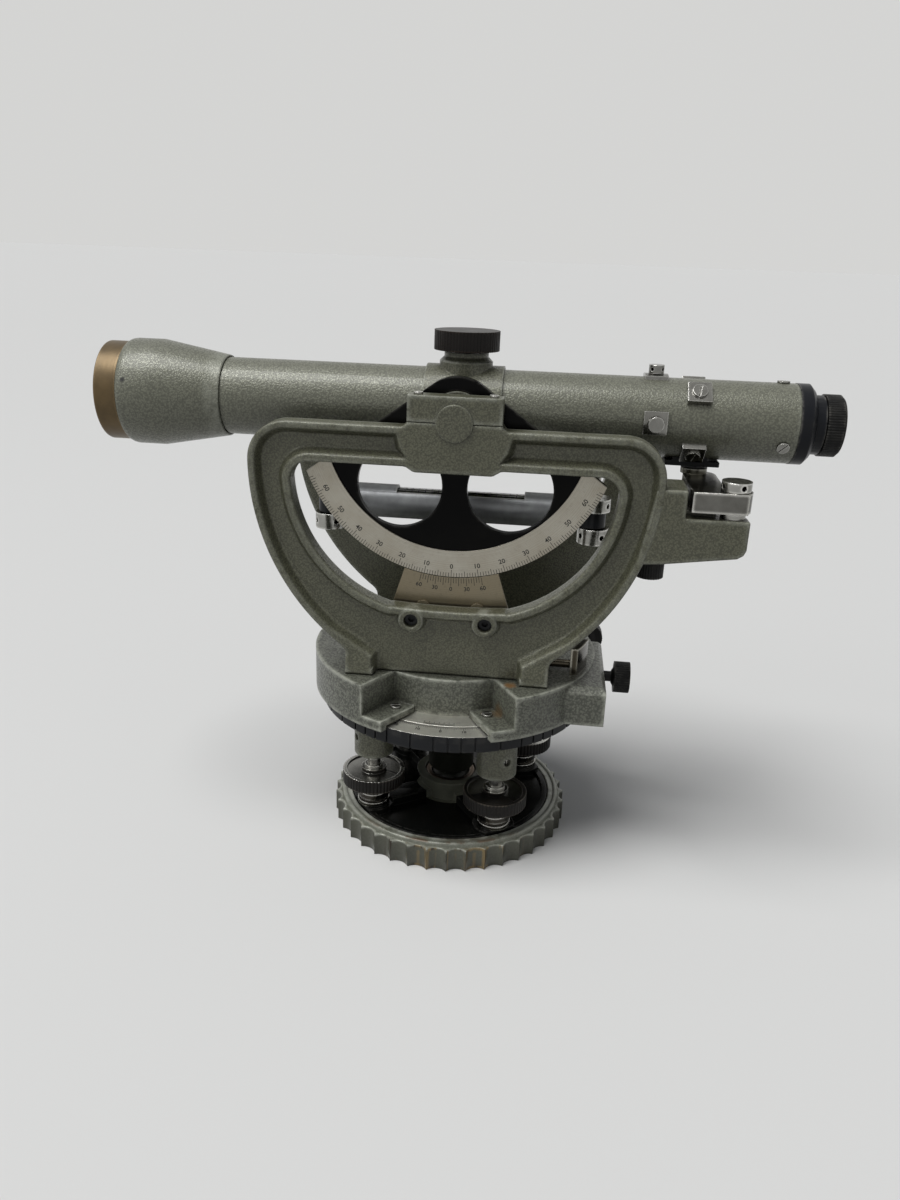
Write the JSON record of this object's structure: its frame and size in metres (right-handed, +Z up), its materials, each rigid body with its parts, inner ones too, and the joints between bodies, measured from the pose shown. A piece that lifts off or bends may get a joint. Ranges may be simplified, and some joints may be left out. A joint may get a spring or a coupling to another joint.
{
  "type": "surveying level",
  "caption": "Builder's transit level: a tilting telescope with vertical arc and vial between D-shaped frames, on a graduated circle and a four-screw levelling base.",
  "frame": {"origin": "centre of the underside of the threaded tripod ring, on the vertical axis", "axes": "+Z up along the vertical axis; +X along the telescope towards its eyepiece; -Y towards the side with the vertical arc"},
  "size_m": [0.2668, 0.1078, 0.1957],
  "materials": {
    "hammertone": "hammered grey-green enamel, satin",
    "black_enamel": "semi-gloss black enamel",
    "black_knob": "knurled, blackened brass",
    "dark_steel": "oiled dark steel",
    "nickel": "worn nickel plate",
    "silver_scale": "brushed nickel silver, engraved",
    "bronze": "dull bronze lacquer",
    "lens_glass": "polished, coated",
    "vial_glass": "polished, with spirit"
  },
  "bodies": {
    "ring": {"tripod_ring": "hammertone"},
    "foot": {"foot_plate": "black_enamel", "shoes": "nickel", "ball_retainer": "bronze"},
    "seal": {"stem_seal": "bronze"},
    "head": {"ball_stem": "dark_steel", "levelling_head": "hammertone", "tension_screws": "nickel"},
    "tip_1": {"tip_ball_1": "nickel"},
    "screw_1": {"level_screw_1": "black_knob"},
    "tip_2": {"tip_ball_2": "nickel"},
    "screw_2": {"level_screw_2": "black_knob"},
    "tip_3": {"tip_ball_3": "nickel"},
    "screw_3": {"level_screw_3": "black_knob"},
    "tip_4": {"tip_ball_4": "nickel"},
    "screw_4": {"level_screw_4": "black_knob"},
    "circle": {"circle_rim": "black_enamel", "circle_scale": "silver_scale"},
    "alidade": {"spindle": "nickel", "drum_housing": "hammertone", "horizontal_vernier": "silver_scale", "window_screws": "nickel", "clamp_post": "bronze", "frame_front": "hammertone", "frame_rear": "hammertone", "frame_screws": "black_enamel", "bearing_caps": "hammertone", "cap_screws": "nickel", "trunnion_covers": "hammertone", "arc_vernier": "silver_scale", "vernier_mount": "hammertone", "vernier_screws": "nickel", "ear_screws": "black_enamel", "pivot_screw": "nickel"},
    "clamp": {"clamp_screw": "black_knob"},
    "tangent": {"tangent_screw": "black_knob"},
    "telescope": {"telescope_tube": "hammertone", "center_sleeve": "hammertone", "arc_casting": "black_enamel", "arc_scale": "silver_scale", "objective_bell": "hammertone", "objective_ring": "bronze", "objective_lens": "lens_glass", "reticle": "bronze", "reticle_screws": "nickel", "erector_cell": "dark_steel", "erector_screws": "nickel", "eyepiece_mount": "black_enamel", "end_screws": "nickel", "lock_pad": "black_enamel", "vial_tube": "nickel", "vial_glass": "vial_glass", "vial_lugs": "black_enamel", "vial_nuts": "nickel"},
    "focus_lens_slide": {"focus_slide": "nickel"},
    "focus_wheel": {"focus_knob": "black_knob"},
    "eyepiece": {"eyepiece_ring": "black_knob", "eye_lens": "lens_glass"},
    "lever": {"lock_lever": "nickel"},
    "bracket_knob": {"stop_knob": "black_knob"}
  },
  "joints": [
    {"name": "foot_turn", "type": "hinge", "parent": "ring", "child": "foot", "pos_m": [0, 0, 0.008], "axis": [0, 0, 1], "continuous": true},
    {"name": "tilt_a", "type": "hinge", "parent": "foot", "child": "seal", "pos_m": [0, 0, 0.0125], "axis": [0.8221, 0.5693, 0], "range_deg": [-3, 3]},
    {"name": "tilt_b", "type": "hinge", "parent": "seal", "child": "head", "pos_m": [0, 0, 0.0125], "axis": [0.5693, -0.8221, 0], "range_deg": [-3, 3]},
    {"name": "tip_1_slide", "type": "slide", "parent": "head", "child": "tip_1", "axis": [0, 0, 1], "range_m": [-0.0019, 0.0019]},
    {"name": "screw_1_turn", "type": "hinge", "parent": "tip_1", "child": "screw_1", "pos_m": [0.02015, -0.0291, 0.024], "axis": [0, 0, 1], "range_deg": [-670, 670]},
    {"name": "tip_2_slide", "type": "slide", "parent": "head", "child": "tip_2", "axis": [0, 0, 1], "range_m": [-0.0019, 0.0019]},
    {"name": "screw_2_turn", "type": "hinge", "parent": "tip_2", "child": "screw_2", "pos_m": [-0.0291, -0.02015, 0.024], "axis": [0, 0, 1], "range_deg": [-670, 670]},
    {"name": "tip_3_slide", "type": "slide", "parent": "head", "child": "tip_3", "axis": [0, 0, 1], "range_m": [-0.0019, 0.0019]},
    {"name": "screw_3_turn", "type": "hinge", "parent": "tip_3", "child": "screw_3", "pos_m": [-0.02015, 0.0291, 0.024], "axis": [0, 0, 1], "range_deg": [-670, 670]},
    {"name": "tip_4_slide", "type": "slide", "parent": "head", "child": "tip_4", "axis": [0, 0, 1], "range_m": [-0.0019, 0.0019]},
    {"name": "screw_4_turn", "type": "hinge", "parent": "tip_4", "child": "screw_4", "pos_m": [0.0291, 0.02015, 0.024], "axis": [0, 0, 1], "range_deg": [-670, 670]},
    {"name": "circle_turn", "type": "hinge", "parent": "head", "child": "circle", "pos_m": [0, 0, 0.057], "axis": [0, 0, 1], "continuous": true},
    {"name": "alidade_turn", "type": "hinge", "parent": "head", "child": "alidade", "pos_m": [0, 0, 0.065], "axis": [0, 0, 1], "continuous": true},
    {"name": "clamp_turn", "type": "hinge", "parent": "alidade", "child": "clamp", "pos_m": [0.06, -0.0095, 0.06935], "axis": [1, 0, 0], "range_deg": [0, 180]},
    {"name": "tangent_turn", "type": "hinge", "parent": "alidade", "child": "tangent", "pos_m": [0.0536, 0.014, 0.0664], "axis": [0, 1, 0], "continuous": true},
    {"name": "telescope_tilt", "type": "hinge", "parent": "alidade", "child": "telescope", "pos_m": [0, 0, 0.16835], "axis": [0, 1, 0], "range_deg": [-45, 0]},
    {"name": "focus_turn", "type": "hinge", "parent": "telescope", "child": "focus_wheel", "pos_m": [0, 0, 0.192], "axis": [0, 0, 1], "range_deg": [-115, 115]},
    {"name": "focus_travel", "type": "slide", "parent": "telescope", "child": "focus_lens_slide", "axis": [1, 0, 0], "range_m": [-0.008, 0.008]},
    {"name": "eyepiece_turn", "type": "hinge", "parent": "telescope", "child": "eyepiece", "pos_m": [0.13, 0, 0.16835], "axis": [1, 0, 0], "range_deg": [-120, 120]},
    {"name": "lever_swing", "type": "hinge", "parent": "alidade", "child": "lever", "pos_m": [0.0949, -0.0311, 0.1465], "axis": [0, 0, 1], "range_deg": [-90, 0]},
    {"name": "bracket_knob_turn", "type": "hinge", "parent": "alidade", "child": "bracket_knob", "pos_m": [0.07, -0.025, 0.12], "axis": [0, 0, 1], "continuous": true}
  ],
  "couplings": [
    {"joint": "tip_1_slide", "follows": "tilt_a", "m_per_rad": 0.0354},
    {"joint": "screw_1_turn", "follows": "tilt_a", "ratio": 222.43},
    {"joint": "tip_2_slide", "follows": "tilt_b", "m_per_rad": 0.0354},
    {"joint": "screw_2_turn", "follows": "tilt_b", "ratio": 222.43},
    {"joint": "tip_3_slide", "follows": "tilt_a", "m_per_rad": -0.0354},
    {"joint": "screw_3_turn", "follows": "tilt_a", "ratio": -222.43},
    {"joint": "tip_4_slide", "follows": "tilt_b", "m_per_rad": -0.0354},
    {"joint": "screw_4_turn", "follows": "tilt_b", "ratio": -222.43},
    {"joint": "focus_turn", "follows": "focus_travel", "rad_per_m": -250}
  ]
}
